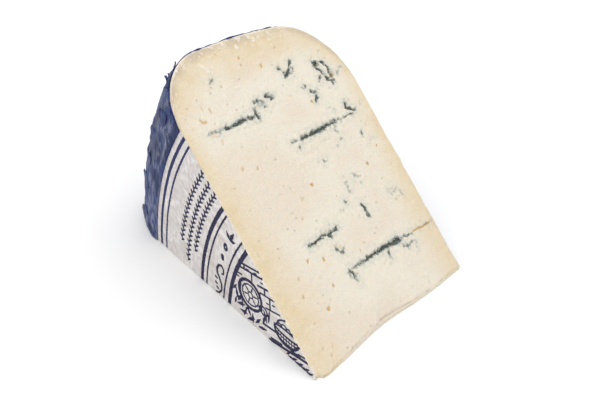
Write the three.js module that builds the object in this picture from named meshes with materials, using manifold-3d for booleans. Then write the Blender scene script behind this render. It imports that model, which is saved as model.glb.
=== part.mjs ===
// A wedge of blue cheese, cut from a drum-shaped wheel and laid on one of its two cut faces.
//
// Units are millimetres and +Z is up. The wheel's axis is parallel to Y: its front face, which
// carries the round paper label, looks along -Y. The tip of the wedge points along +X and the
// outside of the wheel along -X. The origin is at the middle of the base.

import * as THREE from 'three';
import { mergeVertices } from 'three/addons/utils/BufferGeometryUtils.js';
import Module from 'manifold-3d';

// The wheel
const WHEEL_RADIUS = 144;
const WHEEL_HEIGHT = 80;
const FRONT_ROUNDING = { radial: 25, axial: 21 };
const BACK_ROUNDING = { radial: 30, axial: 25 };
const SIDE_BULGE = 0.7;

// The two cuts. The tip's front end is at x = 0, z = 0 until the part is centred.
const WEDGE_ANGLE = THREE.MathUtils.degToRad(40);
const WHEEL_AXIS_FROM_TIP = { x: 28, z: -6.4 };
const TIP_SKEW = -5.4;
const TIP_BLUNTING = 1.6;

// The paper round the wheel
const PAPER_THICKNESS = 0.5;
const GAP = 0.3;
const LABEL_RADIUS = 118.3;
const PAPER_LIFT = 0.4;

// Fineness of the round shapes
const WHEEL_SEGMENTS = 180;
const ROUNDING_STEPS = 8;
const SIDE_STEPS = 4;

const wasm = await Module();
wasm.setup();

function solidFrom(geometry) {
  geometry.deleteAttribute('normal');
  geometry.deleteAttribute('uv');
  const merged = mergeVertices(geometry, 1e-4);
  const corners = merged.index.array;
  const triVerts = [];
  for (let i = 0; i < corners.length; i += 3) {
    const [a, b, c] = corners.slice(i, i + 3);
    if (a !== b && b !== c && c !== a) triVerts.push(a, b, c);
  }
  return new wasm.Manifold(new wasm.Mesh({
    numProp: 3,
    vertProperties: Float32Array.from(merged.attributes.position.array),
    triVerts: Uint32Array.from(triVerts),
  }));
}

function meshFrom(solid, name, material) {
  const { vertProperties, triVerts } = solid.getMesh();
  const geometry = new THREE.BufferGeometry();
  geometry.setAttribute('position', new THREE.BufferAttribute(Float32Array.from(vertProperties), 3));
  geometry.setIndex(new THREE.BufferAttribute(Uint32Array.from(triVerts), 1));
  geometry.computeVertexNormals();
  const mesh = new THREE.Mesh(geometry, material);
  mesh.name = name;
  return mesh;
}

// Half of the wheel's section, drawn as (radius, height) and shrunk by inset on every side.
function wheelProfile(inset) {
  const radius = WHEEL_RADIUS - inset;
  const top = WHEEL_HEIGHT - inset;
  const front = { r: FRONT_ROUNDING.radial - inset, h: FRONT_ROUNDING.axial - inset };
  const back = { r: BACK_ROUNDING.radial - inset, h: BACK_ROUNDING.axial - inset };
  const points = [new THREE.Vector2(0, inset)];
  for (let i = 0; i <= ROUNDING_STEPS; i++) {
    const turn = (i / ROUNDING_STEPS) * Math.PI / 2;
    points.push(new THREE.Vector2(
      radius - front.r * (1 - Math.sin(turn)),
      inset + front.h * (1 - Math.cos(turn)),
    ));
  }
  const sideStart = inset + front.h;
  const sideLength = top - back.h - sideStart;
  for (let i = 1; i < SIDE_STEPS; i++) {
    const along = i / SIDE_STEPS;
    const bulge = SIDE_BULGE * Math.sin(Math.PI * along);
    points.push(new THREE.Vector2(radius + bulge, sideStart + along * sideLength));
  }
  for (let i = 0; i <= ROUNDING_STEPS; i++) {
    const turn = (i / ROUNDING_STEPS) * Math.PI / 2;
    points.push(new THREE.Vector2(
      radius - back.r * (1 - Math.cos(turn)),
      top - back.h * (1 - Math.sin(turn)),
    ));
  }
  points.push(new THREE.Vector2(0, top));
  return points;
}

// Spins a profile round the wheel's axis, which the lathe takes as the line parallel to Y.
function spin(profile) {
  const geometry = new THREE.LatheGeometry(profile, WHEEL_SEGMENTS);
  geometry.translate(WHEEL_AXIS_FROM_TIP.x, 0, WHEEL_AXIS_FROM_TIP.z);
  return solidFrom(geometry);
}

function wheel(inset) {
  return spin(wheelProfile(inset));
}

function disc(radius, from, to) {
  return spin([
    new THREE.Vector2(0, from),
    new THREE.Vector2(radius, from),
    new THREE.Vector2(radius, to),
    new THREE.Vector2(0, to),
  ]);
}

// A block large enough to cut away everything on the side of a plane that its normal points to.
function beyond(point, normal) {
  const size = 4 * WHEEL_RADIUS;
  const block = new THREE.BoxGeometry(size, size, size);
  const turn = new THREE.Quaternion().setFromUnitVectors(new THREE.Vector3(0, 0, 1), normal);
  const centre = point.clone().addScaledVector(normal, size / 2);
  block.applyQuaternion(turn);
  block.translate(centre.x, centre.y, centre.z);
  return solidFrom(block);
}

// Cuts the wedge out of a wheel-shaped solid, its base raised by lift.
function wedge(solid, lift) {
  const alongRamp = new THREE.Vector3(-Math.cos(WEDGE_ANGLE), 0, Math.sin(WEDGE_ANGLE));
  const alongTip = new THREE.Vector3(TIP_SKEW, WHEEL_HEIGHT, 0).normalize();
  const rampNormal = new THREE.Vector3().crossVectors(alongTip, alongRamp).normalize();
  const noseNormal = new THREE.Vector3(WHEEL_HEIGHT, -TIP_SKEW, 0).normalize();
  const sharpTip = new THREE.Vector3(TIP_BLUNTING / Math.tan(WEDGE_ANGLE), 0, 0);
  return solid
    .subtract(beyond(new THREE.Vector3(0, 0, lift), new THREE.Vector3(0, 0, -1)))
    .subtract(beyond(sharpTip, rampNormal))
    .subtract(beyond(new THREE.Vector3(0, 0, 0), noseNormal));
}

// The cheese itself: paste and rind grew as one piece.
function cheese() {
  const material = new THREE.MeshStandardMaterial({ color: 0xeee3d1, roughness: 0.55, metalness: 0 });
  return meshFrom(wedge(wheel(PAPER_THICKNESS + GAP), 0), 'cheese', material);
}

// The blue paper over the rim, the back face and the outer ring of the front face.
function wrapper() {
  const material = new THREE.MeshStandardMaterial({ color: 0x495375, roughness: 0.4, metalness: 0 });
  const opening = disc(LABEL_RADIUS + GAP, -1, PAPER_THICKNESS + 1);
  const skin = wheel(0).subtract(wheel(PAPER_THICKNESS)).subtract(opening);
  return meshFrom(wedge(skin, PAPER_LIFT), 'wrapper', material);
}

// The round printed label on the front face.
function label() {
  const material = new THREE.MeshStandardMaterial({ color: 0xc7c4c3, roughness: 0.6, metalness: 0 });
  return meshFrom(wedge(disc(LABEL_RADIUS, 0, PAPER_THICKNESS), PAPER_LIFT), 'label', material);
}

const pieces = new THREE.Group();
pieces.add(cheese(), wrapper(), label());

const box = new THREE.Box3().setFromObject(pieces);
const middle = box.getCenter(new THREE.Vector3());
pieces.position.set(-middle.x, -middle.y, -box.min.z);

const cheeseWedge = new THREE.Group();
cheeseWedge.add(pieces);

export default cheeseWedge;
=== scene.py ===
"""A cut wedge of blue cheese in its blue wrapper, with a round printed label on its flat face.

The wedge lies on one cut face. The other cut face is a ramp that rises from the tip, at +X, to the
rind, at -X. Shapes are worked out in millimetres from the tip's front end and then placed in the
CAD's frame, in metres. A place on the ramp is given as (s, t): s up the ramp from the tip's line,
and t along the wheel's axis from the labelled face.
"""

import math

import bmesh
import bpy
import numpy as np
from mathutils import Matrix, Vector


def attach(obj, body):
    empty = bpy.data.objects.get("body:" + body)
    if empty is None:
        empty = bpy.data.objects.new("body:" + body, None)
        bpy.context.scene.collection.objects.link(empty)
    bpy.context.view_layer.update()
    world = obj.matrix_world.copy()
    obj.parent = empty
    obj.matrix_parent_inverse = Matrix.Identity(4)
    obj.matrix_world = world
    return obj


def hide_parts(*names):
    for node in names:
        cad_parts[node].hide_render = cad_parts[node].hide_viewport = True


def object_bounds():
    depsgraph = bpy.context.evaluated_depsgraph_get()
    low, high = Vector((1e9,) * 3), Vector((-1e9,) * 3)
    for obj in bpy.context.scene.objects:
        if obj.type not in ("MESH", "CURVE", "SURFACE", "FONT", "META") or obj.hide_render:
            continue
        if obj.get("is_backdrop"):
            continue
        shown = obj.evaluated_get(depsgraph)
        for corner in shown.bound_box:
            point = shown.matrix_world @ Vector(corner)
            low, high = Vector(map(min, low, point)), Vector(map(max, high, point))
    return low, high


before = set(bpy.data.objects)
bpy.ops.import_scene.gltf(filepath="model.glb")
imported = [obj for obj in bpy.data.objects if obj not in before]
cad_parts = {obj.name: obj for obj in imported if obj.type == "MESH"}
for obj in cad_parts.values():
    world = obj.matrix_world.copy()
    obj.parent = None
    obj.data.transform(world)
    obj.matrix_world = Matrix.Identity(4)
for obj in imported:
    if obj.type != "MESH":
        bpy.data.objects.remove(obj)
cad_low, cad_high = (list(corner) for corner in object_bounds())

MM = 0.001

# The wheel and the two cuts, as the CAD has them, in millimetres
WHEEL_RADIUS = 144.0
WHEEL_HEIGHT = (cad_high[1] - cad_low[1]) / MM
FRONT_ROUNDING = (25.0, 21.0)
BACK_ROUNDING = (30.0, 25.0)
SIDE_BULGE = 0.7
WEDGE_ANGLE = math.radians(40)
AXIS_X, AXIS_Z = 28.0, -6.4
TIP_SLANT = -5.4 / WHEEL_HEIGHT
TIP_BLUNTING = 1.6
SHARP_TIP_X = TIP_BLUNTING / math.tan(WEDGE_ANGLE)
TIP_PLACE = Vector((cad_high[0] / MM, cad_low[1] / MM, 0.0))

# The papers, in millimetres
PAPER = 0.35
LABEL_RADIUS = 119.4
LIP = 0.1
PAPER_FOOT = 0.3

# Depths and heights of what marks the ramp, in millimetres
MOULD_DEPTH = 0.9
AMBER_DEPTH = 0.5
CHALK_HEIGHT = 0.2
EDGE_WEAR = 0.35
TIP_DENT = 0.8

# Small marks scattered over the ramp and along its rim
NICK_COUNT = 60
CRUMB_COUNT = 70

# The wrapper's deepest fold, and how much farther from the wheel's axis than the tip's front end
# it stops on the back, where the slanting tip is farther out too, in millimetres
DEEPEST_FOLD = -0.3
BACK_END_GAP = 6

# Mesh fineness, in faces
RAMP_FACES = (330, 245)
WALL_STEPS = 7
WRAPPER_FACES = (280, 120)
LABEL_FACES = (300, 250)

# The tip's lower edge: (t, how far it stands out from a straight line)
TIP_WAVE = (
    (0, 0), (1.2, -0.5), (2, -0.3), (2.8, 1.1), (5, 1.4), (11, 0.9), (17, 0.4), (23, -0.3),
    (30, -1.0), (36, -1.2), (43, -0.9), (51, -0.1), (60, 0.3), (67, 0.4), (74, 0.1), (80, 0.1),
)

# Mould in needle channels, cracks and holes: (half width at each end, strength, places on the ramp)
MOULD = (
    (0.2, 0.3, 0.8, ((89.5, 8.8), (89, 12), (88.8, 17))),
    (0.4, 0.6, 1.0, ((88.8, 16), (88.5, 20.7), (88.9, 24), (88.9, 26.5), (88.2, 28.1))),
    (0.4, 0.2, 1.0, ((90.6, 30.6), (89.1, 30.3), (87.6, 30.5), (86.4, 30.8))),
    (0.25, 0.15, 0.9, ((88.7, 30.5), (88.6, 32.1))),
    (0.45, 0.15, 0.9, ((92.9, 31.9), (93.4, 33.8), (92.3, 34.7), (89.5, 35.5))),
    (0.6, 0.35, 1.0, ((93.2, 37.7), (93.1, 39.3), (92.5, 40.1), (91.2, 39.4))),
    (0.45, 0.45, 0.75, ((106.3, 20.6), (105.9, 20), (105.2, 19.2))),
    (0.5, 0.7, 0.95, ((101.8, 55.4), (99.8, 54.3), (97.6, 51.8), (96.9, 50.3))),
    (0.4, 0.5, 0.9, ((100.9, 48.9), (100.1, 49.9), (98.7, 50.3), (96.6, 50.5))),
    (0.4, 0.4, 0.9, ((97.8, 51.9), (97.1, 53.8), (98.3, 55), (99.8, 54.4))),
    (0.35, 0.35, 1.0, ((97.8, 64.7), (97, 66.5), (96.4, 67.3))),
    (0.35, 0.5, 0.9, ((97.4, 64.7), (96.2, 64.4), (93.7, 66.2), (91.9, 67.1))),
    (0.5, 0.8, 0.9, ((91.9, 67.1), (89.5, 67.5), (88.5, 69.4))),
    (0.5, 0.25, 1.0, ((88.5, 69.4), (86.9, 68.8))),
    (0.4, 0.4, 1.0, ((96.5, 68.6), (95, 69.7), (93.4, 70.3), (91.5, 70), (89.9, 70.3))),
    (0.25, 0.25, 0.7, ((91.6, 75.9), (90.7, 74), (89.7, 72.7))),
    (0.7, 0.5, 0.8, ((91.3, 64.5), (89.9, 63.4))),
    (0.25, 0.25, 0.4, ((88.4, 60.4), (85.9, 60.8))),
    (0.35, 0.35, 0.8, ((90.7, 54.6), (90.6, 55.8), (89.7, 56.1))),
    (0.6, 0.5, 0.95, ((87.7, 57.4), (86.9, 58.4))),
    (0.45, 0.4, 1.0, ((85.2, 58.2), (83.9, 57.4))),
    (0.2, 0.2, 0.4, ((103.7, 63.2), (102.7, 63.1), (101.8, 61.4))),
    (0.15, 0.6, 0.8, ((74.1, 37.7), (73.8, 40.9), (73.7, 43.7))),
    (0.7, 0.85, 0.95, ((73.7, 43.2), (73.7, 48.5), (73.7, 51.6))),
    (0.85, 0.5, 0.95, ((73.7, 51), (73.9, 57.1), (73.9, 60.5))),
    (0.45, 0.25, 0.8, ((73.9, 60.2), (73.4, 62.7), (73.7, 65.6), (73.6, 71.3))),
    (0.6, 0.4, 1.0, ((78.2, 69.2), (76.6, 68.7), (75.7, 70), (74.4, 71.9))),
    (0.3, 0.15, 0.6, ((74.4, 71.9), (75.4, 75), (76.3, 76.5))),
    (0.25, 0.25, 0.6, ((79.4, 61), (77.9, 62.7), (76.3, 61.8))),
    (0.3, 0.45, 0.8, ((72.6, 59.5), (70.6, 58.7), (70, 59.3))),
    (0.35, 0.35, 0.7, ((65.8, 69.1), (64, 69))),
    (0.3, 0.3, 0.6, ((66.9, 60), (66.6, 57.3), (65.7, 55.7))),
    (0.25, 0.25, 0.5, ((70.4, 53.9), (69.5, 51.7), (68.9, 50.2))),
    (0.5, 0.5, 0.8, ((71, 39.9), (70.6, 39.9))),
    (0.8, 0.8, 0.65, ((62.9, 46.4), (62.5, 46.4))),
    (0.3, 0.3, 0.6, ((63.8, 48.3), (62.7, 46.4), (62.8, 44.4))),
    (0.3, 0.3, 0.6, ((62.7, 48.9), (62.7, 46.4), (61.3, 46.5))),
    (0.25, 0.25, 0.55, ((61.4, 72.6), (60.6, 71), (59.7, 69.8))),
    (0.3, 0.15, 0.6, ((53.9, 54.9), (52.8, 55), (52.6, 56.7), (51.1, 57.5), (49.2, 56.8))),
    (0.3, 0.2, 0.7, ((53.6, 50.6), (52.1, 50.9), (50.4, 51), (48.2, 50.1))),
    (0.35, 0.35, 0.85, ((46.5, 46.3), (45.5, 46.3))),
    (0.35, 0.35, 0.6, ((44.1, 43.5), (43.7, 43.5))),
    (0.65, 0.6, 0.85, ((42.4, 52.2), (39.6, 52.4), (37.5, 52.5))),
    (0.3, 0.3, 0.6, ((38.9, 54.1), (38.4, 54.1))),
    (0.4, 0.5, 1.0, ((39.8, 22.9), (39.5, 26.1), (40, 30), (40.1, 31.5))),
    (0.45, 0.25, 0.9, ((39.8, 32), (38.7, 32.6), (37.8, 33.1))),
    (0.45, 0.4, 1.0, ((39.1, 32.6), (39.6, 34.4), (39.4, 36), (40, 37.2))),
    (0.3, 0.3, 0.6, ((42.2, 34.4), (40.9, 33.5), (40.2, 32.6))),
    (0.45, 0.35, 0.8, ((34.8, 32.4), (33.3, 32.4), (31.9, 33.2), (31.6, 34.7), (32.6, 35.2))),
    (0.6, 0.3, 0.9, ((24.5, 33.3), (23, 34.1), (21.7, 33.9), (19.7, 34.2))),
    (1.2, 1.2, 0.6, ((24.2, 32.6), (23.2, 32.8))),
    (0.35, 0.45, 0.9, ((24.8, 34.3), (25, 36.3), (24.7, 38.3), (24.8, 42.6))),
    (0.65, 0.7, 1.0, ((24.8, 42.6), (24.7, 46), (24.6, 50.7), (24.5, 53.3))),
    (0.75, 0.9, 1.0, ((24.5, 53.3), (24.2, 57), (24.2, 59.5))),
    (0.45, 0.35, 0.85, ((23.9, 60.2), (23.6, 63.2), (23.4, 66.2))),
    (0.4, 0.5, 0.9, ((22.5, 52.5), (20.3, 52.3))),
    (0.75, 0.75, 0.65, ((22.7, 60.4), (20.8, 60.4), (19.8, 62.3), (20.6, 64.1), (20.1, 65.5))),
    (0.25, 0.2, 0.6, ((20.1, 65.5), (17.1, 65.5))),
    (0.3, 0.3, 0.75, ((38.9, 71.9), (37.1, 72.1))),
    (0.3, 0.3, 0.7, ((42.9, 68.7), (41.9, 67.9))),
    (0.5, 0.4, 0.6, ((41.3, 67.9), (39.3, 66.9))),
    (0.3, 0.3, 0.6, ((40.4, 70.4), (39.7, 69.4))),
    (0.25, 0.25, 0.5, ((6.8, 61.6), (7.6, 63.6))),
    (0.35, 0.35, 0.4, ((7.1, 55.1), (6.7, 55.1))),
    (0.25, 0.25, 0.6, ((22.4, 77.6), (22.2, 79.6))),
    (0.2, 0.2, 0.75, ((23.2, 70.6), (22.9, 72.0))),
    (0.2, 0.2, 0.75, ((22.9, 74), (22.8, 75.4))),
)

# Faint grey smears of mould: (radius, strength, place)
SMEARS = (
    (2.2, 0.5, (90.9, 33.4)), (3.2, 0.35, (89, 63)), (1.5, 0.35, (90.2, 51.1)),
    (2.6, 0.7, (40.7, 67.5)), (2.0, 0.65, (37.9, 71.9)), (2.0, 0.35, (68, 46)),
    (2.0, 0.5, (52, 54)), (2.4, 0.4, (98, 52)), (2.2, 0.6, (21, 62.5)), (1.6, 0.35, (21.5, 52.5)),
    (1.4, 0.35, (33, 34)), (1.6, 0.3, (42, 34)),
)

# Open holes in the ramp: (place, radius, depth)
HOLES = (((96.2, 66), 1.3, 2.2), ((90.4, 70.8), 1.2, 2.0), ((90.9, 33.4), 2.2, 0.8))

# Olive and amber openings: (half width, strength, places on the ramp)
AMBER = (
    (0.9, 0.9, ((96.5, 66), (96.1, 66))), (0.7, 0.8, ((90.7, 70.8), (90.3, 71))),
    (0.45, 0.9, ((84.5, 55.2), (84.1, 55.4))), (0.4, 0.8, ((110, 35.5), (109.8, 35.5))),
    (0.4, 0.8, ((107.3, 34.9), (107.1, 34.9))), (0.4, 0.9, ((104.5, 42.6), (103.6, 42.4))),
    (0.3, 0.6, ((103, 22.8), (102.5, 22.9))), (0.25, 0.5, ((99, 11.2), (97.9, 11.4))),
    (0.3, 0.6, ((97.1, 14), (95.8, 14))), (0.3, 0.8, ((95.1, 8.6), (94.4, 8.8))),
    (0.5, 0.7, ((94, 9.3), (93.6, 9.6), (93.8, 10.4))), (0.3, 0.5, ((96.3, 21.6), (96.1, 21.6))),
    (0.4, 0.5, ((93.3, 26.8), (93, 26.7))), (0.3, 0.5, ((80.8, 18.4), (80.4, 18.3))),
    (0.35, 0.7, ((71.9, 20), (71.4, 19.6))), (0.4, 0.7, ((73.9, 14.3), (73.4, 14))),
    (0.45, 0.4, ((106.4, 58), (106, 57.8))), (0.3, 0.5, ((108.6, 52.4), (108.2, 52.3))),
    (0.5, 1.0, ((57.7, 36.5), (57.3, 36.8))), (0.5, 1.0, ((54.3, 64.3), (53.9, 64.4))),
    (0.35, 0.7, ((58.4, 72.7), (58.1, 72.6))), (0.25, 0.5, ((55.6, 29.6), (54.4, 29.6), (54.9, 30.8))),
    (0.35, 0.6, ((48.9, 25.9), (48.6, 25.9))), (0.4, 0.8, ((35.8, 19.4), (35.1, 19.2))),
    (0.4, 0.9, ((33.5, 25.6), (32.7, 25.5))), (0.35, 0.5, ((32.4, 12.7), (31.6, 12.5))),
    (0.35, 0.7, ((24.1, 23.7), (23.4, 23.6))), (0.35, 0.7, ((26.5, 10.9), (25.8, 10.7))),
    (0.25, 0.6, ((30.4, 44.5), (30, 44.7))), (0.3, 0.5, ((28.8, 41.5), (28, 41.3))),
    (0.2, 0.4, ((19.4, 47.4), (20.4, 49.4))), (0.2, 0.4, ((39.5, 48.7), (37.9, 48.5))),
    (0.45, 0.8, ((18.5, 17.8), (18.4, 17), (17.8, 17.4))), (0.35, 0.5, ((8.8, 7.8), (8.3, 7.8))),
    (0.35, 0.6, ((5.2, 9.6), (4.7, 9.6))), (0.3, 0.5, ((17.1, 9.8), (16.6, 9.7))),
    (0.25, 0.9, ((23.4, 67.8), (23.3, 71), (22.8, 72.8), (22.9, 74.6), (22.7, 76.6))),
    (0.4, 0.8, ((23.2, 70.6), (22.9, 72))), (0.4, 0.8, ((22.9, 74), (22.8, 75.4))),
    (0.35, 0.5, ((89, 9.2), (89.1, 12.4))), (0.2, 0.5, ((88.2, 9.5), (87.2, 12.6))),
    (0.25, 0.5, ((40.2, 23.2), (39.9, 23.6))), (0.25, 0.5, ((34.9, 33), (32.9, 34.2), (34.1, 34.8))),
)

# Chalky crumbs and smears on the rind's side: (half width, strength, places on the ramp)
CHALK = (
    (0.7, 1.0, ((114.1, 36.7), (113.7, 36.6))), (0.7, 0.9, ((116.9, 38.6), (116.7, 39.6))),
    (0.65, 0.9, ((116, 43.4), (115.6, 43.9))), (0.4, 0.9, ((114.6, 47.5), (114.4, 47.5))),
    (0.35, 0.8, ((113.9, 45.4), (113.7, 45.4))), (0.35, 0.9, ((116.7, 31.8), (116.5, 31.8))),
    (0.35, 0.8, ((117.7, 33.5), (117.4, 33.8))), (0.3, 0.8, ((115.7, 17.1), (115.5, 17.1))),
    (0.5, 0.8, ((115.2, 13.1), (113.6, 12.8))), (0.5, 0.9, ((112.7, 19), (111.3, 20.3), (109.6, 21.2))),
    (0.35, 0.7, ((110.8, 23.5), (109.1, 24))), (0.65, 0.6, ((112.6, 54.4), (112.2, 55))),
    (0.5, 0.7, ((114.5, 49.4), (114.2, 50))), (0.5, 0.6, ((113.2, 63.6), (113, 64.2))),
    (0.5, 0.6, ((100.8, 76.2), (100.2, 76.6))), (1.0, 0.45, ((102.5, 52.8), (102, 53.2))),
    (0.25, 0.6, ((12, 36.6), (8, 35), (4.5, 31.6))), (1.6, 0.6, ((70.5, 78.6), (68.8, 78.6))),
    (0.3, 0.6, ((94.8, 67.9), (92.4, 69))), (0.5, 0.9, ((95.4, 68.2), (93.8, 68.9))),
    (0.5, 0.4, ((71.6, 55.2), (69.6, 56.6))), (0.6, 0.4, ((70.6, 61.5), (69.4, 62.4))),
    (0.4, 0.4, ((67.6, 51.4), (66.4, 53.2))), (0.5, 0.4, ((26.4, 51), (27, 53.6))),
    (0.4, 0.4, ((22.4, 56), (20.8, 57))), (0.4, 0.4, ((46.6, 53.4), (44.8, 54.4))),
)


# ---- Small sums -------------------------------------------------------------------------------


def lattice_noise(points, size, seed):
    """Smooth noise from -1 to 1, with lumps of the given size, at rows of 3-D points."""
    side = 32
    table = np.random.default_rng(seed).uniform(-1, 1, (side, side, side))
    scaled = points / np.asarray(size, float)
    cell = np.floor(scaled).astype(int)
    part = scaled - cell
    part = part * part * (3 - 2 * part)
    total = np.zeros(len(points))
    for corner in np.ndindex(2, 2, 2):
        pick = (cell + corner) % side
        weight = np.where(corner, part, 1 - part).prod(axis=1)
        total += weight * table[pick[:, 0], pick[:, 1], pick[:, 2]]
    return total


def layered_noise(points, size, seed, layers=3):
    """Lattice noise with finer and weaker layers added."""
    size = np.asarray(size, float)
    total = sum(lattice_noise(points, size / 2**i, seed + i) / 2**i for i in range(layers))
    return total / (2 - 0.5 ** (layers - 1))


def ease(values, low, high):
    """Rises smoothly from 0 at low to 1 at high."""
    t = np.clip((values - low) / (high - low), 0, 1)
    return t * t * (3 - 2 * t)


def stroke_depth(places, route, width_start, width_end, soft):
    """How deep in a stroke each place is: 1 on its outline, 0 a soft width outside, more inside."""
    route = np.asarray(route, float)
    reach_out = max(width_start, width_end) + soft
    low, high = route.min(axis=0) - reach_out, route.max(axis=0) + reach_out
    near = np.flatnonzero(((places > low) & (places < high)).all(axis=1))
    depth = np.zeros(len(places))
    spots = places[near]
    steps = len(route) - 1
    for i in range(steps):
        leg = route[i + 1] - route[i]
        along = np.clip((spots - route[i]) @ leg / (leg @ leg), 0, 1)
        distance = np.linalg.norm(spots - route[i] - along[:, None] * leg, axis=1)
        width = width_start + (width_end - width_start) * (i + along) / steps
        depth[near] = np.maximum(depth[near], 1 - (distance - width) / soft)
    return depth


# ---- The wheel's shape ------------------------------------------------------------------------


def outline_path(inset, steps=24):
    """The wheel's section from the front face's edge over the side to the back face's edge."""
    turn = np.linspace(0, math.pi / 2, steps)
    radius, top = WHEEL_RADIUS - inset, WHEEL_HEIGHT - inset
    front_r, front_h = (size - inset for size in FRONT_ROUNDING)
    back_r, back_h = (size - inset for size in BACK_ROUNDING)
    front = np.c_[radius - front_r * (1 - np.sin(turn)), inset + front_h * (1 - np.cos(turn))]
    along = np.linspace(0, 1, steps)[1:-1]
    side_start = inset + front_h
    side = np.c_[
        radius + SIDE_BULGE * np.sin(math.pi * along),
        side_start + along * (top - back_h - side_start),
    ]
    back = np.c_[radius - back_r * (1 - np.cos(turn)), top - back_h * (1 - np.sin(turn))]
    return np.vstack([front, side, back])


def path_length(path):
    return np.linalg.norm(np.diff(path, axis=0), axis=1).sum()


def along_path(path, share):
    """Points at shares of a path's length, from 0 to 1."""
    length = np.r_[0, np.cumsum(np.linalg.norm(np.diff(path, axis=0), axis=1))]
    place = np.asarray(share) * length[-1]
    return np.c_[np.interp(place, length, path[:, 0]), np.interp(place, length, path[:, 1])]


def reach(radius, y, angle):
    """How far the wheel's surface is from the tip's line, along a plane tilted up by angle."""
    from_axis_x = SHARP_TIP_X + TIP_SLANT * y - AXIS_X
    from_axis_z = -AXIS_Z
    half = from_axis_x * -np.cos(angle) + from_axis_z * np.sin(angle)
    return -half + np.sqrt(half**2 - (from_axis_x**2 + from_axis_z**2 - radius**2))


def on_plane(s, y, angle):
    """The point s from the tip's line, at y, on a plane tilted up by angle."""
    x = SHARP_TIP_X + TIP_SLANT * y - s * np.cos(angle)
    return np.c_[x, y, s * np.sin(angle)]


def round_axis(radius, y, turn):
    """The point at a radius from the wheel's axis, turned up from the table by turn."""
    return np.c_[AXIS_X - radius * np.cos(turn), y, AXIS_Z + radius * np.sin(turn)]


def turns_between_cuts(radius, y, proud):
    """The turns at which the table and the ramp cut a circle, the second moved out by proud."""
    start = np.arcsin((PAPER_FOOT - AXIS_Z) / radius)
    below = (
        math.sin(WEDGE_ANGLE) * (AXIS_X - SHARP_TIP_X - TIP_SLANT * y)
        + math.cos(WEDGE_ANGLE) * AXIS_Z
    )
    ramp = WEDGE_ANGLE + np.arcsin(np.clip((proud - below) / radius, -1, 1))
    nose = np.arccos(np.clip((AXIS_X - TIP_SLANT * y) / radius, -1, 1))
    return start, np.maximum(np.minimum(ramp, nose), start)


# ---- Mesh helpers -----------------------------------------------------------------------------


def grid_mesh(name, faces, wall_steps=0):
    """A flat grid with coordinates from 0 to 1. With wall steps it is the top of a closed block."""
    bm = bmesh.new()
    bmesh.ops.create_grid(bm, x_segments=faces[0], y_segments=faces[1], size=0.5)
    bmesh.ops.translate(bm, verts=bm.verts, vec=(0.5, 0.5, 1))
    rim = [edge for edge in bm.edges if edge.is_boundary]
    for _ in range(wall_steps):
        made = bmesh.ops.extrude_edge_only(bm, edges=rim)["geom"]
        lower = [item for item in made if isinstance(item, bmesh.types.BMVert)]
        bmesh.ops.translate(bm, verts=lower, vec=(0, 0, -1 / wall_steps))
        rim = [edge for edge in made if isinstance(edge, bmesh.types.BMEdge) and edge.is_boundary]
    if wall_steps:
        bmesh.ops.contextual_create(bm, geom=rim)
        bmesh.ops.recalc_face_normals(bm, faces=bm.faces)
    mesh = bpy.data.meshes.new(name)
    bm.to_mesh(mesh)
    bm.free()
    return mesh


def read_points(mesh):
    values = np.empty(len(mesh.vertices) * 3)
    mesh.vertices.foreach_get("co", values)
    return values.reshape(-1, 3)


def place_points(mesh, points):
    """Moves a mesh's points to places given in millimetres from the tip's front end."""
    placed = (points + np.array(TIP_PLACE)) * MM
    mesh.vertices.foreach_set("co", placed.ravel())
    # Every grid lands mirrored, which leaves its faces pointing inward until they are flipped.
    mesh.flip_normals()
    mesh.update()


def paint(mesh, name, values):
    """Keeps one number for each point of a mesh, for its material to read."""
    layer = mesh.attributes.new(name, "FLOAT", "POINT")
    layer.data.foreach_set("value", np.asarray(values, np.float32))


def on_rim(u, v):
    """Marks the points that lie on the rim of a grid with coordinates from 0 to 1."""
    return np.minimum(np.minimum(u, 1 - u), np.minimum(v, 1 - v)) < 1e-4


def keep_creases(mesh, on_edge):
    """Keeps the edges between points marked as on_edge crisp when the mesh is shaded smooth."""
    ends = np.empty(len(mesh.edges) * 2, int)
    mesh.edges.foreach_get("vertices", ends)
    sharp = on_edge[ends].reshape(-1, 2).all(axis=1)
    layer = mesh.attributes.get("sharp_edge") or mesh.attributes.new("sharp_edge", "BOOLEAN", "EDGE")
    layer.data.foreach_set("value", sharp)


def finished(mesh, name, node, material):
    """Makes a mesh into a piece of the model."""
    piece = bpy.data.objects.new(name, mesh)
    bpy.context.collection.objects.link(piece)
    mesh.materials.append(material)
    mesh.shade_smooth()
    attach(piece, "root")
    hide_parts(node)
    return piece


# ---- The paste --------------------------------------------------------------------------------


def random_nicks(rng):
    """Faint bent nicks anywhere on the ramp: (half width, strength, places on the ramp)."""
    nicks = []
    for _ in range(NICK_COUNT):
        place = rng.uniform((4, 3), (112, 77))
        leg = place + rng.normal(0, 0.5, 2)
        nicks.append((0.12, rng.uniform(0.2, 0.6), (place, leg, leg + rng.normal(0, 0.4, 2))))
    return tuple(nicks)


def random_crumbs(rng):
    """Chalky crumbs, thickest at the rim: (half width, places as distance from the rim and t)."""
    crumbs = []
    for _ in range(CRUMB_COUNT):
        place = np.array([rng.exponential(3.0), rng.uniform(3, 62)])
        end = place + rng.normal(0, 0.3, 2)
        crumbs.append((rng.uniform(0.02, 0.22), (place, end)))
    return crumbs


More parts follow.
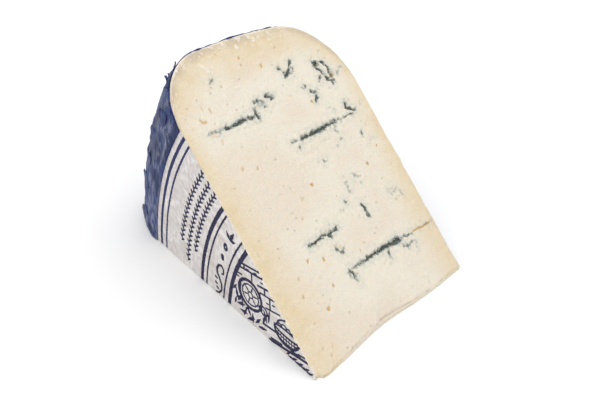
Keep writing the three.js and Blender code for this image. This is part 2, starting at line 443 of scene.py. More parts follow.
def paste_marks(places, rim):
    """Mould, amber, chalk, grey blush and ivory, at places on the ramp and their distance from the rim."""
    flat = np.c_[places, np.zeros(len(places))]
    wander = np.c_[layered_noise(flat, 1.3, seed=11), layered_noise(flat, 1.3, seed=21)]
    torn = places + 0.45 * wander
    mould, blush, ivory, amber, chalk = np.zeros((5, len(places)))
    for start, end, strength, route in MOULD:
        mould = np.maximum(mould, strength * stroke_depth(torn, route, start, end, 1.5))
        haze = stroke_depth(places + 1.5 * wander, route, start, end, 4.0)
        blush = np.maximum(blush, 0.8 * strength * np.minimum(haze, 1))
        ivory = np.maximum(ivory, stroke_depth(places, route, start, end, 14))
    for radius, strength, place in SMEARS:
        away = np.linalg.norm(places + 1.5 * wander - place, axis=1)
        blush = np.maximum(blush, 1.3 * strength * (1 - ease(away, 0.3 * radius, 1.3 * radius)))
    rng = np.random.default_rng(17)
    for width, strength, route in AMBER + random_nicks(rng):
        spot = stroke_depth(places + 0.2 * wander, route, 0.7 * width, 0.7 * width, 0.35)
        amber = np.maximum(amber, strength * np.minimum(spot, 1))
    from_rim = np.c_[rim, torn[:, 1]]
    for size, route in random_crumbs(rng):
        chalk = np.maximum(chalk, np.minimum(stroke_depth(from_rim, route, size, size, 0.5), 1))
    for width, strength, route in CHALK:
        spot = stroke_depth(torn, route, width, width, 0.5)
        chalk = np.maximum(chalk, strength * np.minimum(spot, 1))
    return mould, amber, chalk, blush, np.clip(ivory, 0, 1)


def ramp_relief(s, y, inward, marks):
    """How far the ramp stands out from its plane, inward being the distance in from its edges."""
    mould, amber, chalk, blush, _ = marks
    flat = np.c_[s, y, 0 * s]
    grain = layered_noise(flat, 0.9, seed=131, layers=2)
    relief = 0.12 * layered_noise(flat, 14, seed=31) + 0.05 * layered_noise(flat, 2.5, seed=41)
    relief -= MOULD_DEPTH * ease(mould + 0.35 * grain, 0.7, 1.3)
    relief += CHALK_HEIGHT * chalk - AMBER_DEPTH * amber
    relief += 0.15 * ease(mould, 0.2, 0.6) * grain
    relief += 0.35 * ease(blush, 0.05, 0.5) * layered_noise(flat, 1.4, seed=161)
    for (s0, t0), radius, depth in HOLES:
        away = np.hypot(s - s0, y - t0)
        relief -= depth * (1 - ease(away, 0.2 * radius, radius))
    relief -= EDGE_WEAR * (1 - ease(inward, 0, 0.9)) * (1.2 + layered_noise(flat, 2, seed=51))
    dent = ease(y, 33, 35.5) * (1 - ease(y, 42, 58)) * (1 - ease(s, 2, 14))
    return relief - TIP_DENT * dent


def make_paste(material):
    """A closed block whose grid runs up each cut plane (a), across it (b) and between the two (c)."""
    mesh = grid_mesh("paste", RAMP_FACES, WALL_STEPS)
    a, b, c = read_points(mesh).T
    angle = c * WEDGE_ANGLE
    on_ramp = c > 0.999
    inset = np.where(on_ramp, LIP, PAPER)
    outer = np.where(on_ramp[:, None], *(along_path(outline_path(gap), b) for gap in (LIP, PAPER)))
    outer_s = reach(outer[:, 0], outer[:, 1], angle)
    inner_y = inset + b * (WHEEL_HEIGHT - 2 * inset)
    wave = np.interp(inner_y, *zip(*TIP_WAVE))
    nose_s = (SHARP_TIP_X - wave) / np.cos(angle)
    s = nose_s + (outer_s - nose_s) * a
    y = inner_y + (outer[:, 1] - inner_y) * a
    edge = np.minimum(b, 1 - b) * WHEEL_HEIGHT
    rim = (1 - a) * (outer_s - nose_s)
    inward = np.minimum(np.minimum(edge, rim), s - nose_s)
    marks = [on_ramp * values for values in paste_marks(np.c_[s, y], rim)]

    points = on_plane(s, y, angle)
    wobble = ease(b, 0.975, 1) * ease(c, 0.6, 1) * layered_noise(np.c_[s, 0 * s, 0 * s], 5, seed=171)
    points[:, 1] -= EDGE_WEAR * wobble
    outward = (math.sin(WEDGE_ANGLE), -TIP_SLANT * math.sin(WEDGE_ANGLE), math.cos(WEDGE_ANGLE))
    points += (on_ramp * ramp_relief(s, y, inward, marks))[:, None] * outward
    points[:, 2] = np.maximum(points[:, 2], 0)
    place_points(mesh, points)

    for name, values in zip(("mould", "amber", "chalk", "blush", "ivory"), marks):
        paint(mesh, name, values)
    flat = np.c_[s, y, 0 * s]
    wheel_side = np.minimum(edge, rim * (0.9 + 0.1 * b))
    paint(mesh, "rind", 1 - ease(wheel_side + 4 * layered_noise(flat, 22, seed=61), 1, 19))
    rim_side = np.minimum(rim, (1 - b) * WHEEL_HEIGHT + 2)
    paint(mesh, "crust", 1 - ease(rim_side + 1.5 * layered_noise(flat, 6, seed=141), 0.5, 5))
    skin_side = np.minimum(edge, rim)
    paint(mesh, "skin", 1 - ease(skin_side + 0.5 * layered_noise(flat, 2.5, seed=181), 0.2, 1.0))
    keep_creases(mesh, ((c > 0.999) | (c < 0.001)) & on_rim(a, b))
    return finished(mesh, "cheese_paste", "cheese", material)


# ---- The wrapper ------------------------------------------------------------------------------


def wrapper_path():
    """The wrapper's section: from the label's edge, round the rim and over the back to the tip."""
    back_end = [math.hypot(AXIS_X, AXIS_Z) + BACK_END_GAP, WHEEL_HEIGHT]
    return np.vstack([[LABEL_RADIUS, 0], outline_path(0)[1:], back_end])


def on_wheel(path, share, turn, lift):
    """Points on the wheel's skin, at shares of a section's length, lifted outward from the skin."""
    radius, y = along_path(path, share).T
    ahead, behind = (along_path(path, np.clip(share + step, 0, 1)) for step in (1e-3, -1e-3))
    tangent = (ahead - behind) / np.linalg.norm(ahead - behind, axis=1)[:, None]
    return round_axis(radius + lift * tangent[:, 1], y - lift * tangent[:, 0], turn)


def wrapper_edge(length, y):
    """How far the wrapper's torn edge stands out from the ramp's plane, round its section."""
    ragged = layered_noise(np.c_[length, 0 * y, 0 * y], 3, seed=71)
    on_back = ease(y, 50, 68)
    on_front = 1 - ease(y, 2, 16)
    at_corner = ease(y, 3, 6) * (1 - ease(y, 12, 19))
    proud = (-0.35 + 0.95 * ragged) * (1 - on_back) + (-1.4 + 0.4 * ragged) * on_back
    return proud - 0.45 * on_front - 0.9 * at_corner


def crumpling(length, around, grain):
    """Streaky folds, sharp ridges and lumps of the wrapper, in millimetres out from the wheel."""
    folds = layered_noise(grain, 4, seed=81)
    slanting = np.c_[length, around / 6 - 0.2 * length, 0 * length]
    ridges = 1 - 2 * np.abs(layered_noise(slanting, 7, seed=91, layers=2))
    lumps = layered_noise(np.c_[length, around, 0 * length], 5, seed=151)
    return 0.3 * folds + 0.5 * np.maximum(ridges, 0) ** 2 + 0.75 * lumps


def make_wrapper(material):
    mesh = grid_mesh("wrapper", WRAPPER_FACES)
    u, v, _ = read_points(mesh).T
    path = wrapper_path()
    radius, y = along_path(path, u).T
    length = u * path_length(path)
    start, end = turns_between_cuts(radius, y, wrapper_edge(length, y))
    turn = start + (end - start) * v
    around = turn * radius
    grain = np.c_[length, around / 8 + 0.12 * length, 0 * length]
    lift = crumpling(length, around, grain)
    lift *= ease(length, 0, 3) * ease((end - turn) * radius, 0, 4)
    place_points(mesh, on_wheel(path, u, turn, np.maximum(lift, DEEPEST_FOLD)))
    # Painted highlight: the raised crests are coloured paler blue.
    paint(mesh, "crest_highlight", ease(lift, 0.1, 0.7))
    # Worn streaks, partly real wear and partly painted sheen.
    paint(mesh, "wear_and_sheen", ease(layered_noise(grain, 2.2, seed=101), -0.15, 0.5))
    # Painted shade: folds sunk below the wheel's skin are coloured darker.
    paint(mesh, "fold_shade", ease(-lift, 0.0, 0.45))
    return papery(finished(mesh, "blue_wrapper", "wrapper", material))


# Depth of the edge fibres' roots below the ramp, in millimetres
FIBRE_ROOT = 2.4

# Torn flakes and fibres of the wrapper, those at 90 degrees up being at the ramp's cut edge:
# (mm along the section, degrees up, length, width, heading, curl)
SHREDS = (
    (7.5, 31.0, 5, 5.5, -15, 1.0), (9.0, 24.5, 6.5, 5.5, -10, 0.8), (8.5, 5.5, 6, 8.0, -5, 0.9),
    (9.5, 13.5, 5.5, 5.0, 5, 0.7), (9.5, 18.5, 5, 3.5, 15, 0.4), (7.0, 90, 3.2, 0.8, 60, 0.9),
    (17.5, 90, 3.4, 1.0, 55, 1.6), (16.6, 90, 3.0, 0.8, 115, 1.8), (10.0, 90, 3.0, 0.8, 75, 0.8),
    (15.8, 90, 3.2, 0.9, 80, 1.4), (4.5, 90, 2.8, 0.8, 110, 0.6), (17.0, 90, 3.4, 0.7, 30, 2.0),
    (18.6, 90, 3.2, 1.4, 40, 1.1), (24.0, 90, 3.0, 1.2, 30, 0.7),
    (60, 30, 7, 4.5, 20, 0.9), (95, 22, 6, 4.0, -30, 0.9), (150, 20, 7, 4.5, 10, 0.8),
)


def shred_points(path, spots, length, degrees, size, width, heading, curl):
    """A flake or fibre that curls up from its root on the wrapper, spots being its flat grid."""
    along, across = spots[:, 0] + 0.5, spots[:, 1]
    taper = width * across * (1 - 0.5 * along**2)
    ahead = size * along + 0.15 * size * across
    heading = math.radians(heading)
    whole = path_length(path)
    down_path = length + ahead * math.cos(heading) - taper * math.sin(heading)
    round_wheel = ahead * math.sin(heading) + taper * math.cos(heading)
    radius, y = along_path(path, length / whole)[0]
    highest = turns_between_cuts(radius, y, -FIBRE_ROOT)[1]
    turn = min(math.radians(degrees), highest) + round_wheel / radius
    lift = 0.15 + curl * along**2 + 0.2 * np.sin(7 * along + 5 * across) * along
    return on_wheel(path, np.clip(down_path / whole, 0, 1), turn, lift)


def make_shreds(material):
    path = wrapper_path()
    sheets = bmesh.new()
    for _ in SHREDS:
        bmesh.ops.create_grid(sheets, x_segments=10, y_segments=3, size=0.5)
    mesh = bpy.data.meshes.new("shreds")
    sheets.to_mesh(mesh)
    sheets.free()
    flat = read_points(mesh)[:, :2].reshape(len(SHREDS), -1, 2)
    shreds = [shred_points(path, spots, *row) for spots, row in zip(flat, SHREDS)]
    place_points(mesh, np.vstack(shreds))
    count = len(mesh.vertices)
    # Painted highlight on the flakes and fibres, paler on the later ones.
    paint(mesh, "crest_highlight", np.linspace(0.2, 0.6, count))
    # Streaks of wear and painted sheen, fading from the first flakes to the last.
    paint(mesh, "wear_and_sheen", np.linspace(0.3, 0, count))
    # No painted fold shade on the flakes.
    paint(mesh, "fold_shade", np.zeros(count))
    return papery(finished(mesh, "wrapper_shreds", "wrapper", material))


def papery(piece):
    """Gives a sheet the wrapper's thickness, outward."""
    wall = piece.modifiers.new("thickness", "SOLIDIFY")
    wall.thickness = PAPER * MM
    wall.offset = 1
    return piece


# ---- The label --------------------------------------------------------------------------------

# The picture's planks and ground lines: (half width, two places on the label)
PLANKS = (
    (0.36, (-38.7, 24.5), (-29.9, 26.4)), (0.36, (-39.4, 22.4), (-28.2, 24.7)),
    (0.3, (-41.0, 19.0), (-38.6, 19.4)), (0.36, (-29.9, 20.6), (-24.4, 22.0)),
    (0.3, (-28.4, 18.3), (-21.4, 19.6)), (0.3, (-25.4, 13.6), (-18.6, 15.5)),
    (0.3, (-37.2, 24.9), (-37.5, 22.9)), (0.3, (-33.4, 23.5), (-33.1, 20.3)),
    (0.3, (-26.5, 21.3), (-26.2, 18.8)), (0.3, (-23.7, 19.1), (-23.3, 14.2)),
    (0.25, (-36.0, 23.6), (-35.0, 23.8)), (0.25, (-32.0, 24.6), (-31.0, 24.9)),
    (0.25, (-28.4, 22.8), (-27.6, 23.0)), (0.25, (-22.2, 17.2), (-21.2, 17.5)),
    (0.25, (-25.2, 16.0), (-24.4, 16.2)), (0.25, (-41.2, 17.4), (-40.2, 17.6)),
    (0.5, (-23.1, 0.6), (-13.6, 2.6)), (0.5, (-13.6, 2.6), (-4.4, 4.7)),
    (0.4, (-26.8, 5.2), (-20.2, 6.4)), (0.3, (-22.4, 1.9), (-17.0, 3.0)),
    (0.3, (-8.6, 5.2), (-5.6, 5.9)), (0.25, (-12.4, 3.9), (-7.8, 5.0)),
)

# The picture's leaves: (x, z, length, half width, heading in degrees)
PICTURE_LEAVES = (
    (-40.9, 7.0, 4.4, 0.7, 100), (-40.6, 6.0, 4.6, 0.7, 62), (-41.0, 4.6, 4.6, 0.7, 22),
    (-39.4, 2.6, 4.0, 0.6, 5), (-37.2, 1.4, 4.4, 0.65, 70), (-35.2, 1.0, 4.6, 0.7, 35),
    (-32.2, 1.4, 4.2, 0.7, 95), (-30.8, 2.4, 4.4, 0.65, 55), (-29.2, 1.8, 4.6, 0.65, 20),
    (-27.0, 5.2, 4.2, 0.6, 75), (-24.9, 6.6, 5.6, 0.6, 110), (-24.2, 7.6, 5.8, 0.5, 85),
    (-29.2, 15.2, 3.4, 0.5, 80), (-29.6, 15.0, 3.0, 0.4, 130), (-43.2, 9.8, 3.4, 0.5, 60),
    (-42.4, 3.6, 3.6, 0.5, 75), (-38.0, 4.4, 3.4, 0.6, 95), (-33.6, 3.6, 3.4, 0.6, 120),
    (-36.4, 5.2, 2.6, 0.5, 35), (-13.6, 0.5, 3.6, 0.55, 8), (-11.8, 0.6, 3.0, 0.5, 32),
    (-10.0, 0.5, 3.4, 0.6, 10), (-8.4, 0.6, 2.8, 0.5, 40), (-7.0, 0.6, 3.2, 0.55, 14),
    (-5.2, 0.7, 2.6, 0.5, 42), (-4.2, 0.6, 2.6, 0.45, 12), (-2.8, 0.7, 1.8, 0.35, 40),
    (-14.4, 0.8, 2.4, 0.4, 45),
)

# Ink spread added to every drawn line, in millimetres
PEN = 0.1

# Printed rings: (radius, half width), in millimetres
RINGS = ((116.7, 0.72), (113.4, 0.48), (90.3, 0.88), (87.5, 0.42), (77.4, 0.42), (74.1, 0.92))


def polar(radius, degrees):
    """The place (x, z) on the label at a radius from the wheel's axis and degrees up."""
    turn = math.radians(degrees)
    return AXIS_X - radius * math.cos(turn), AXIS_Z + radius * math.sin(turn)


def arc(x, z, wide, high, first, last, steps=14):
    """Places along part of an oval about (x, z), from the first to the last angle in degrees."""
    turns = np.radians(np.linspace(first, last, steps))
    return [(x + wide * math.cos(turn), z + high * math.sin(turn)) for turn in turns]


def leaf(x, z, long, wide, degrees):
    """Two strokes that swell and shrink like a leaf that starts at (x, z)."""
    turn = math.radians(degrees)
    places = [(x + long * k * math.cos(turn), z + long * k * math.sin(turn)) for k in (0, 0.45, 1)]
    return [(0.1, wide, places[:2]), (wide, 0.08, places[1:])]


def vine(radius, first, last):
    """A row of leaves on alternate sides of a stem that follows a circle."""
    stem = [polar(radius, degrees) for degrees in np.linspace(first, last, 20)]
    strokes = [(0.14, 0.14, stem)]
    pitch = math.degrees(1.3 / radius)
    for i, degrees in enumerate(np.arange(first, last, pitch)):
        side = 1.0 if i % 2 else -1.0
        foot, tip = polar(radius, degrees), polar(radius + side, degrees + 0.9 * pitch)
        strokes.append((0.24, 0.36, (foot, tip)))
    return strokes


def scroll():
    """The S-shaped scroll in the ring, with drops and three leaves above it and dashes beside it."""
    places = (
        (79.9, 13.0), (79.1, 13.5), (79.4, 14.9), (80.8, 15.7), (82.3, 14.9), (82.8, 13.3),
        (82.2, 11.9), (80.6, 10.7), (79.1, 9.1), (78.8, 7.3), (80.1, 5.5), (81.8, 5.0),
    )
    strokes = [(0.3, 0.5, [polar(*place) for place in places[:7]])]
    strokes.append((0.5, 0.3, [polar(*place) for place in places[6:]]))
    strokes.append((0.5, 0.35, arc(-47.3, 25.7, 0.75, 1.3, 70, 380, 9)))
    strokes.append((0.85, 0.7, ((-49.2, 20.5), (-49.1, 19.2))))
    strokes += leaf(-45.0, 30.4, 3.4, 0.75, 118) + leaf(-44.7, 30.6, 4.4, 0.8, 62)
    strokes += leaf(-44.6, 30.1, 2.8, 0.75, 18)
    for x, z in ((-53.4, 8.1), (-53.5, 5.4), (-52.8, 3.4)):
        strokes.append((0.45, 0.35, ((x, z), (x + 0.7, z - 0.3))))
    return strokes


def picture():
    """Planks behind a cheese wheel, a basket and leaves, drawn in the middle of the label."""
    strokes = [(width, width, route) for width, *route in PLANKS]
    for row in PICTURE_LEAVES:
        strokes += leaf(*row)
    return strokes + drawn_wheel() + drawn_basket()


def drawn_wheel():
    """A round cheese with a rosette of six leaves on its face, and a curl beside it."""
    strokes = [(0.6, 0.6, arc(-34.0, 13.2, 6.1, 6.1, 50, 310))]
    strokes.append((0.4, 0.6, arc(-34.0, 13.2, 6.1, 6.1, -50, 50)))
    strokes.append((0.5, 0.2, arc(-34.2, 13.1, 5.3, 5.3, 160, 250)))
    strokes.append((0.25, 0.25, arc(-33.8, 13.3, 4.4, 4.4, 0, 360)))
    strokes.append((0.22, 0.22, arc(-33.8, 13.3, 1.3, 1.3, 0, 360)))
    for degrees in range(15, 375, 60):
        foot = arc(-33.8, 13.3, 1.6, 1.6, degrees, degrees, 1)[0]
        strokes += leaf(*foot, 2.2, 0.33, degrees)
    curl = arc(-26.9, 10.9, 2.0, 2.0, 180, -70) + arc(-27.0, 10.3, 0.9, 1.0, -60, -230)
    strokes.append((0.35, 0.3, curl))
    return strokes


def drawn_basket():
    """A wide basket with a handle, ribs and three round things in it."""
    strokes = [(0.38, 0.38, arc(-14.8, 9.7, 6.2, 1.4, 0, 360, 24))]
    strokes.append((0.5, 0.5, arc(-14.8, 9.6, 6.1, 5.4, 185, 355)))
    strokes.append((0.22, 0.22, arc(-14.8, 8.2, 5.8, 1.5, 190, 350)))
    strokes.append((0.22, 0.22, arc(-14.8, 6.6, 5.0, 1.5, 190, 350)))
    strokes.append((0.3, 0.3, arc(-15.0, 10.2, 4.9, 4.6, 10, 170)))
    for i in range(7):
        x = -19.0 + 1.35 * i
        drop = 5.0 * math.sqrt(max(0, 1 - ((x + 14.8) / 6.1) ** 2))
        strokes.append((0.12, 0.12, ((x, 8.2), (x + 0.3, 9.4 - drop))))
    for x, z in ((-18.4, 10.8), (-16.2, 11.6), (-14.0, 11.2)):
        strokes.append((0.25, 0.25, arc(x, z, 1.3, 1.2, 0, 180, 8)))
    return strokes


def label_ink(x, z):
    """How much of the drawn ornament covers each place on the label, from 0 to 1."""
    places = np.c_[x, z]
    ink = np.zeros(len(places))
    drawing = vine(103.7, 10, 34) + vine(99.3, 6, 34) + vine(95.4, 11, 34) + scroll() + picture()
    for start, end, route in drawing:
        ink = np.maximum(ink, stroke_depth(places, route, start + PEN, end + PEN, 0.5))
    return np.clip(ink, 0, 1)


def make_label(material):
    mesh = grid_mesh("label", LABEL_FACES, 1)
    u, v, c = read_points(mesh).T
    inner = np.hypot(AXIS_X, AXIS_Z) + 0.5
    radius = inner + (LABEL_RADIUS - inner) * u
    depth = PAPER * (1 - c)
    ragged = layered_noise(np.c_[radius, 0 * u, 0 * u], 2.5, seed=111)
    start, end = turns_between_cuts(radius, 0 * radius, -0.45 + 0.35 * ragged)
    points = round_axis(radius, depth, start + (end - start) * v)
    x, _, z = points.T
    waves = 0.1 * layered_noise(np.c_[x, z, 0 * x], 9, seed=121)
    points[:, 1] -= waves * (c > 0.5)
    place_points(mesh, points)
    paint(mesh, "ink", label_ink(x, z))
    keep_creases(mesh, on_rim(u, v))
    return finished(mesh, "paper_label", "label", material)


# ---- Materials --------------------------------------------------------------------------------


class Finish:
    """One material and short calls for the nodes that it is made of."""

    def __init__(self, name, roughness):
        self.material = bpy.data.materials.new(name)
        self.material.use_nodes = True
        self.tree = self.material.node_tree
        self.shader = self.tree.nodes["Principled BSDF"]
        self.shader.inputs["Roughness"].default_value = roughness
        self.place = self.node("ShaderNodeTexCoord").outputs["Object"]

    def set(self, socket, value):
        if isinstance(value, bpy.types.NodeSocket):
            self.tree.links.new(value, socket)
        elif isinstance(value, tuple) and len(value) == 3 and socket.type == "RGBA":
            socket.default_value = (*value, 1)
        else:
            socket.default_value = value

    def node(self, kind, settings=None, **inputs):
        made = self.tree.nodes.new(kind)
        for key, value in (settings or {}).items():
            setattr(made, key, value)
        for key, value in inputs.items():
            self.set(made.inputs[key.replace("_", " ")], value)
        return made

    def painted(self, name):
        return self.node("ShaderNodeAttribute", {"attribute_name": name}).outputs["Fac"]

    def noise(self, size, detail=3.0, stretch=(1, 1, 1)):
        """Noise from about 0.25 to 0.75 with lumps of a size in millimetres."""
        place = self.place
        if stretch != (1, 1, 1):
            place = self.node("ShaderNodeMapping", Vector=place, Scale=stretch).outputs["Vector"]
        made = self.node("ShaderNodeTexNoise", Vector=place, Scale=1 / (size * MM), Detail=detail)
        return made.outputs["Fac"]

    def math(self, operation, first, second=0.0):
        made = self.node("ShaderNodeMath", {"operation": operation})
        self.set(made.inputs[0], first)
        self.set(made.inputs[1], second)
        return made.outputs["Value"]

    def step(self, value, low, high, to_low=0.0, to_high=1.0):
        """Goes smoothly from one number to another as a value goes from low to high."""
        made = self.node("ShaderNodeMapRange", {"interpolation_type": "SMOOTHSTEP"}, Value=value)
        for key, number in zip(("From Min", "From Max", "To Min", "To Max"), (low, high, to_low, to_high)):
            made.inputs[key].default_value = number
        return made.outputs["Result"]

    def mix(self, share, first, second):
        made = self.node("ShaderNodeMix", {"data_type": "RGBA"})
        self.set(made.inputs[0], share)
        self.set(made.inputs[6], first)
        self.set(made.inputs[7], second)
        return made.outputs[2]

    def use(self, **inputs):
        for key, value in inputs.items():
            self.set(self.shader.inputs[key.replace("_", " ")], value)

    def bump(self, height, depth, strength=1.0):
        """Roughens the surface by a height from 0 to 1, to a depth in millimetres."""
        made = self.node("ShaderNodeBump", Height=height, Distance=depth * MM, Strength=strength)
        self.use(Normal=made.outputs["Normal"])


def paste_ground(finish, mottle, above):
    """The cut paste's own colour: ivory inside, cream by the rind, a pale skin round the edge."""
    broad = finish.noise(28, 2)
    near_mould = finish.math("ADD", finish.painted("ivory"), finish.step(broad, 0.3, 0.7, -0.3, 0.3))
    warm, ivory = (0.735, 0.65, 0.535), (0.755, 0.70, 0.59)
    colour = finish.mix(finish.step(near_mould, 0.1, 0.9), warm, ivory)
    cream = finish.mix(finish.step(mottle, 0.35, 0.7), (0.72, 0.605, 0.425), (0.70, 0.575, 0.375))
    rind = finish.math("MULTIPLY", finish.painted("rind"), finish.step(mottle, 0.2, 0.75, 0.75, 1.1))
    colour = finish.mix(finish.math("MULTIPLY", rind, above), colour, cream)
    tan = (0.55, 0.46, 0.345)
    crust = finish.math("MULTIPLY", finish.painted("crust"), finish.step(mottle, 0.3, 0.65, 0.3, 1.0))
    colour = finish.mix(finish.math("MULTIPLY", crust, above), colour, tan)
    pale = (0.80, 0.735, 0.655)
    skin = finish.math("MULTIPLY", finish.math("MULTIPLY", finish.painted("skin"), above), 0.7)
    return finish.mix(skin, colour, pale)


def underside_mould(finish, above):
    """Needle channels that the second cut, on the table, has opened here and there."""
    under = finish.math("SUBTRACT", 1.0, above)
    channels = finish.step(finish.noise(15, 1, (1, 0.1, 1)), 0.56, 0.68)
    patches = finish.step(finish.noise(11, 2), 0.5, 0.62)
    hidden = finish.math("MULTIPLY", finish.math("MULTIPLY", channels, patches), under)
    return finish.math("MULTIPLY", hidden, 1.3)


def with_mould(finish, colour, mottle, speckle, fine, above):
    """Adds the grey blush, the amber openings and the mould, darker and more broken up inside."""
    blush = finish.math("MULTIPLY", finish.painted("blush"), finish.step(speckle, 0.3, 0.65, 0.4, 1.0))
    colour = finish.mix(finish.step(blush, 0.05, 1.1), colour, (0.53, 0.545, 0.48))
    amber = finish.step(finish.painted("amber"), 0.15, 0.8)
    colour = finish.mix(finish.math("MULTIPLY", amber, 0.85), colour, (0.60, 0.37, 0.11))
    mould = finish.math("ADD", finish.painted("mould"), underside_mould(finish, above))
    ragged = finish.math("ADD", mould, finish.step(speckle, 0.3, 0.7, -0.4, 0.35))
    specks = finish.math("ADD", mould, finish.step(fine, 0.3, 0.7, -0.45, 0.4))
    haze = finish.math("MULTIPLY", finish.step(ragged, 0.5, 1.0), 0.7)
    colour = finish.mix(haze, colour, (0.31, 0.345, 0.325))
    colour = finish.mix(finish.step(ragged, 0.92, 1.2), colour, (0.115, 0.15, 0.135))
    darkest = finish.mix(finish.step(mottle, 0.5, 0.6), (0.025, 0.037, 0.028), (0.075, 0.06, 0.02))
    return finish.mix(finish.step(specks, 1.1, 1.35), colour, darkest)


def paste_finish():
    """Moist paste. Its above mask is 1 everywhere but on the underside."""
    finish = Finish("paste", 0.5)
    mottle = finish.noise(6, 4)
    speckle = finish.noise(1.5, 3)
    fine = finish.noise(0.5, 3)
    height = finish.node("ShaderNodeSeparateXYZ", Vector=finish.place).outputs["Z"]
    above = finish.step(height, 0.02 * MM, 0.2 * MM)
    colour = paste_ground(finish, mottle, above)
    colour = with_mould(finish, colour, mottle, speckle, fine, above)
    chalk = finish.math("MULTIPLY", finish.painted("chalk"), finish.step(fine, 0.3, 0.6, 0.5, 1.0))
    colour = finish.mix(finish.step(chalk, 0.4, 1.0), colour, (0.80, 0.74, 0.66))
    # Painted shade: small pits are coloured darker tan where the mottle allows, and pressed in by the
    # bump.
    pit_cells = finish.node("ShaderNodeTexVoronoi", Vector=finish.place, Scale=1 / (3.4 * MM))
    shaded_pit = finish.step(pit_cells.outputs["Distance"], 0.05, 0.13, 1.0, 0.0)
    shaded_pit = finish.math("MULTIPLY", shaded_pit, finish.step(mottle, 0.45, 0.6))
    colour = finish.mix(finish.math("MULTIPLY", shaded_pit, 0.3), colour, (0.55, 0.43, 0.28))
    finish.use(Base_Color=colour)
    finish.use(Subsurface_Weight=0.25, Subsurface_Scale=0.0012)
    finish.shader.inputs["Subsurface Radius"].default_value = (1.0, 0.6, 0.3)
    rough = finish.math("ADD", finish.noise(2.0, 5), finish.math("MULTIPLY", fine, 0.4))
    finish.bump(finish.math("SUBTRACT", rough, shaded_pit), 0.6, 0.8)
    return finish.material


def wrapper_finish():
    """Waxed blue paper with worn streaks that are partly painted sheen, painted shade in the folds and
    painted highlights on the crests.
    """
    finish = Finish("blue_paper", 0.5)
    finish.shader.inputs["Specular IOR Level"].default_value = 0.22
    fine = finish.noise(0.9, 4, (1, 1, 0.2))
    blotch = finish.noise(9, 3)
    deep_blue, blue = (0.008, 0.020, 0.085), (0.018, 0.042, 0.16)
    # The grey blue is wear and painted sheen, the fold blue painted shade, the crest blue a painted
    # highlight.
    wear_and_sheen_grey, fold_shade_blue, highlight_blue = (0.115, 0.13, 0.215), (0.004, 0.009, 0.05), (0.27, 0.29, 0.39)
    # Worn streaks in grey blue, partly wear and partly painted sheen.
    wear_and_sheen_streak = finish.math("ADD", finish.painted("wear_and_sheen"), finish.step(fine, 0.3, 0.7, -0.35, 0.3))
    colour = finish.mix(finish.step(blotch, 0.35, 0.65), deep_blue, blue)
    colour = finish.mix(finish.step(wear_and_sheen_streak, 0.45, 1.1), colour, wear_and_sheen_grey)
    # Painted shade: near-black blue in the sunken folds.
    colour = finish.mix(finish.math("MULTIPLY", finish.painted("fold_shade"), 0.85), colour, fold_shade_blue)
    # Painted highlight: pale blue on the raised crests.
    crest_highlight = finish.math("MULTIPLY", finish.painted("crest_highlight"), finish.step(fine, 0.4, 0.65))
    colour = finish.mix(finish.math("MULTIPLY", crest_highlight, 0.8), colour, highlight_blue)
    finish.use(Base_Color=colour)
    finish.bump(finish.math("ADD", fine, finish.noise(4, 4)), 0.5, 0.7)
    return finish.material


def distance_from_axis(finish):
    """How far each point is from the wheel's axis, in metres."""
    apart = finish.node("ShaderNodeSeparateXYZ", Vector=finish.place)
    across = finish.math("SUBTRACT", apart.outputs["X"], (TIP_PLACE.x + AXIS_X) * MM)
    up = finish.math("SUBTRACT", apart.outputs["Z"], AXIS_Z * MM)
    squares = finish.math("ADD", finish.math("MULTIPLY", across, across), finish.math("MULTIPLY", up, up))
    return finish.math("SQRT", squares)


def label_finish():
    """Mottled, slightly stained paper with the rings and the drawn ornament printed on it."""
    finish = Finish("label_paper", 0.65)
    finish.shader.inputs["Specular IOR Level"].default_value = 0.2
    fine = finish.noise(0.8, 4)
    blur = finish.step(fine, 0.3, 0.7, -0.1 * MM, 0.1 * MM)
    radius = finish.math("ADD", distance_from_axis(finish), blur)
    ink = finish.step(finish.painted("ink"), 0.8, 1.0)
    for centre, half in RINGS:
        away = finish.math("ABSOLUTE", finish.math("SUBTRACT", radius, centre * MM))
        ring = finish.step(away, (half - 0.08) * MM, (half + 0.08) * MM, 1.0, 0.0)
        ink = finish.math("MAXIMUM", ink, ring)
    mottle = finish.noise(7, 5)
    stain = finish.step(finish.noise(3.5, 4), 0.5, 0.72)
    crinkle = finish.noise(1.6, 4, (1, 1, 0.6))
    paper = finish.mix(finish.step(mottle, 0.35, 0.65), (0.79, 0.76, 0.74), (0.68, 0.645, 0.625))
    paper = finish.mix(finish.step(crinkle, 0.35, 0.65), paper, (0.60, 0.565, 0.55))
    paper = finish.mix(finish.math("MULTIPLY", stain, 0.45), paper, (0.52, 0.42, 0.36))
    black_blue, navy, faded = (0.010, 0.009, 0.038), (0.018, 0.026, 0.105), (0.035, 0.038, 0.095)
    ink_colour = finish.mix(finish.step(radius, 100 * MM, 112 * MM), black_blue, navy)
    ink_colour = finish.mix(finish.step(fine, 0.4, 0.7), ink_colour, faded)
    finish.use(Base_Color=finish.mix(ink, paper, ink_colour))
    finish.bump(finish.math("ADD", crinkle, mottle), 0.6, 0.7)
    return finish.material


def floor_finish():
    finish = Finish("floor_white", 0.7)
    finish.use(Base_Color=(0.9, 0.9, 0.9))
    return finish.material


# ---- The stage --------------------------------------------------------------------------------

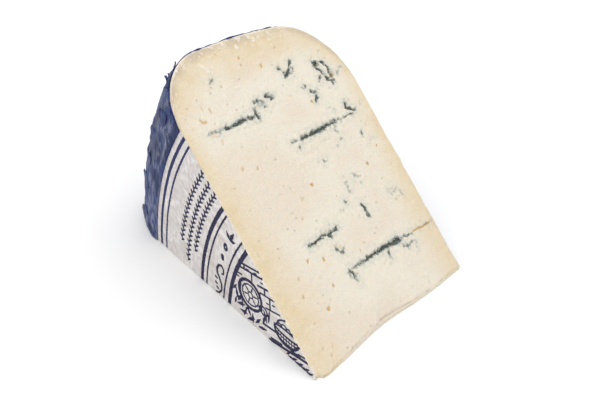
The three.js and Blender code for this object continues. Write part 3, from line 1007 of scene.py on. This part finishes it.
# The camera's azimuth, elevation and roll in degrees, and its place in millimetres
CAMERA_TURNS = (46.69, 37.10, 2.84)
CAMERA_PLACE = (178.06, -163.88, 203.62)

# Studio lights that face the model: (name, place in metres, size in metres, watts)
LIGHTS = (
    ("overhead", (0.0, 0.1, 1.0), 1.2, 5.2),
    ("front", (0.4, -0.9, 0.7), 0.7, 1.6),
)


def add_floor():
    bm = bmesh.new()
    bmesh.ops.create_grid(bm, x_segments=1, y_segments=1, size=3)
    mesh = bpy.data.meshes.new("floor")
    bm.to_mesh(mesh)
    bm.free()
    floor = bpy.data.objects.new("floor", mesh)
    bpy.context.collection.objects.link(floor)
    mesh.materials.append(floor_finish())
    floor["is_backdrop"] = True


def add_camera():
    """Looks down on the ramp from in front of the tip, turned a little on its own axis."""
    azimuth, elevation, roll = (math.radians(angle) for angle in CAMERA_TURNS)
    data = bpy.data.cameras.new("camera")
    data.lens = 48
    data.sensor_width = 36
    data.clip_start = 0.01
    camera = bpy.data.objects.new("camera", data)
    bpy.context.collection.objects.link(camera)
    turn = Matrix.Rotation(azimuth, 4, "Z") @ Matrix.Rotation(math.pi / 2 - elevation, 4, "X")
    place = Matrix.Translation(Vector(CAMERA_PLACE) * MM)
    camera.matrix_world = place @ turn @ Matrix.Rotation(roll, 4, "Z")
    bpy.context.scene.camera = camera


def add_lights():
    world = bpy.data.worlds.new("studio")
    world.use_nodes = True
    background = world.node_tree.nodes["Background"]
    background.inputs["Color"].default_value = (1, 1, 1, 1)
    background.inputs["Strength"].default_value = 0.82
    bpy.context.scene.world = world
    for name, place, size, watts in LIGHTS:
        data = bpy.data.lights.new(name, "AREA")
        data.size = size
        data.energy = watts
        light = bpy.data.objects.new(name, data)
        light.location = place
        light.rotation_euler = (-Vector(place)).to_track_quat("-Z", "Y").to_euler()
        bpy.context.collection.objects.link(light)


bpy.context.scene.view_settings.view_transform = "Standard"
add_camera()
add_floor()
add_lights()
make_paste(paste_finish())
blue_paper = wrapper_finish()
make_wrapper(blue_paper)
make_shreds(blue_paper)
make_label(label_finish())
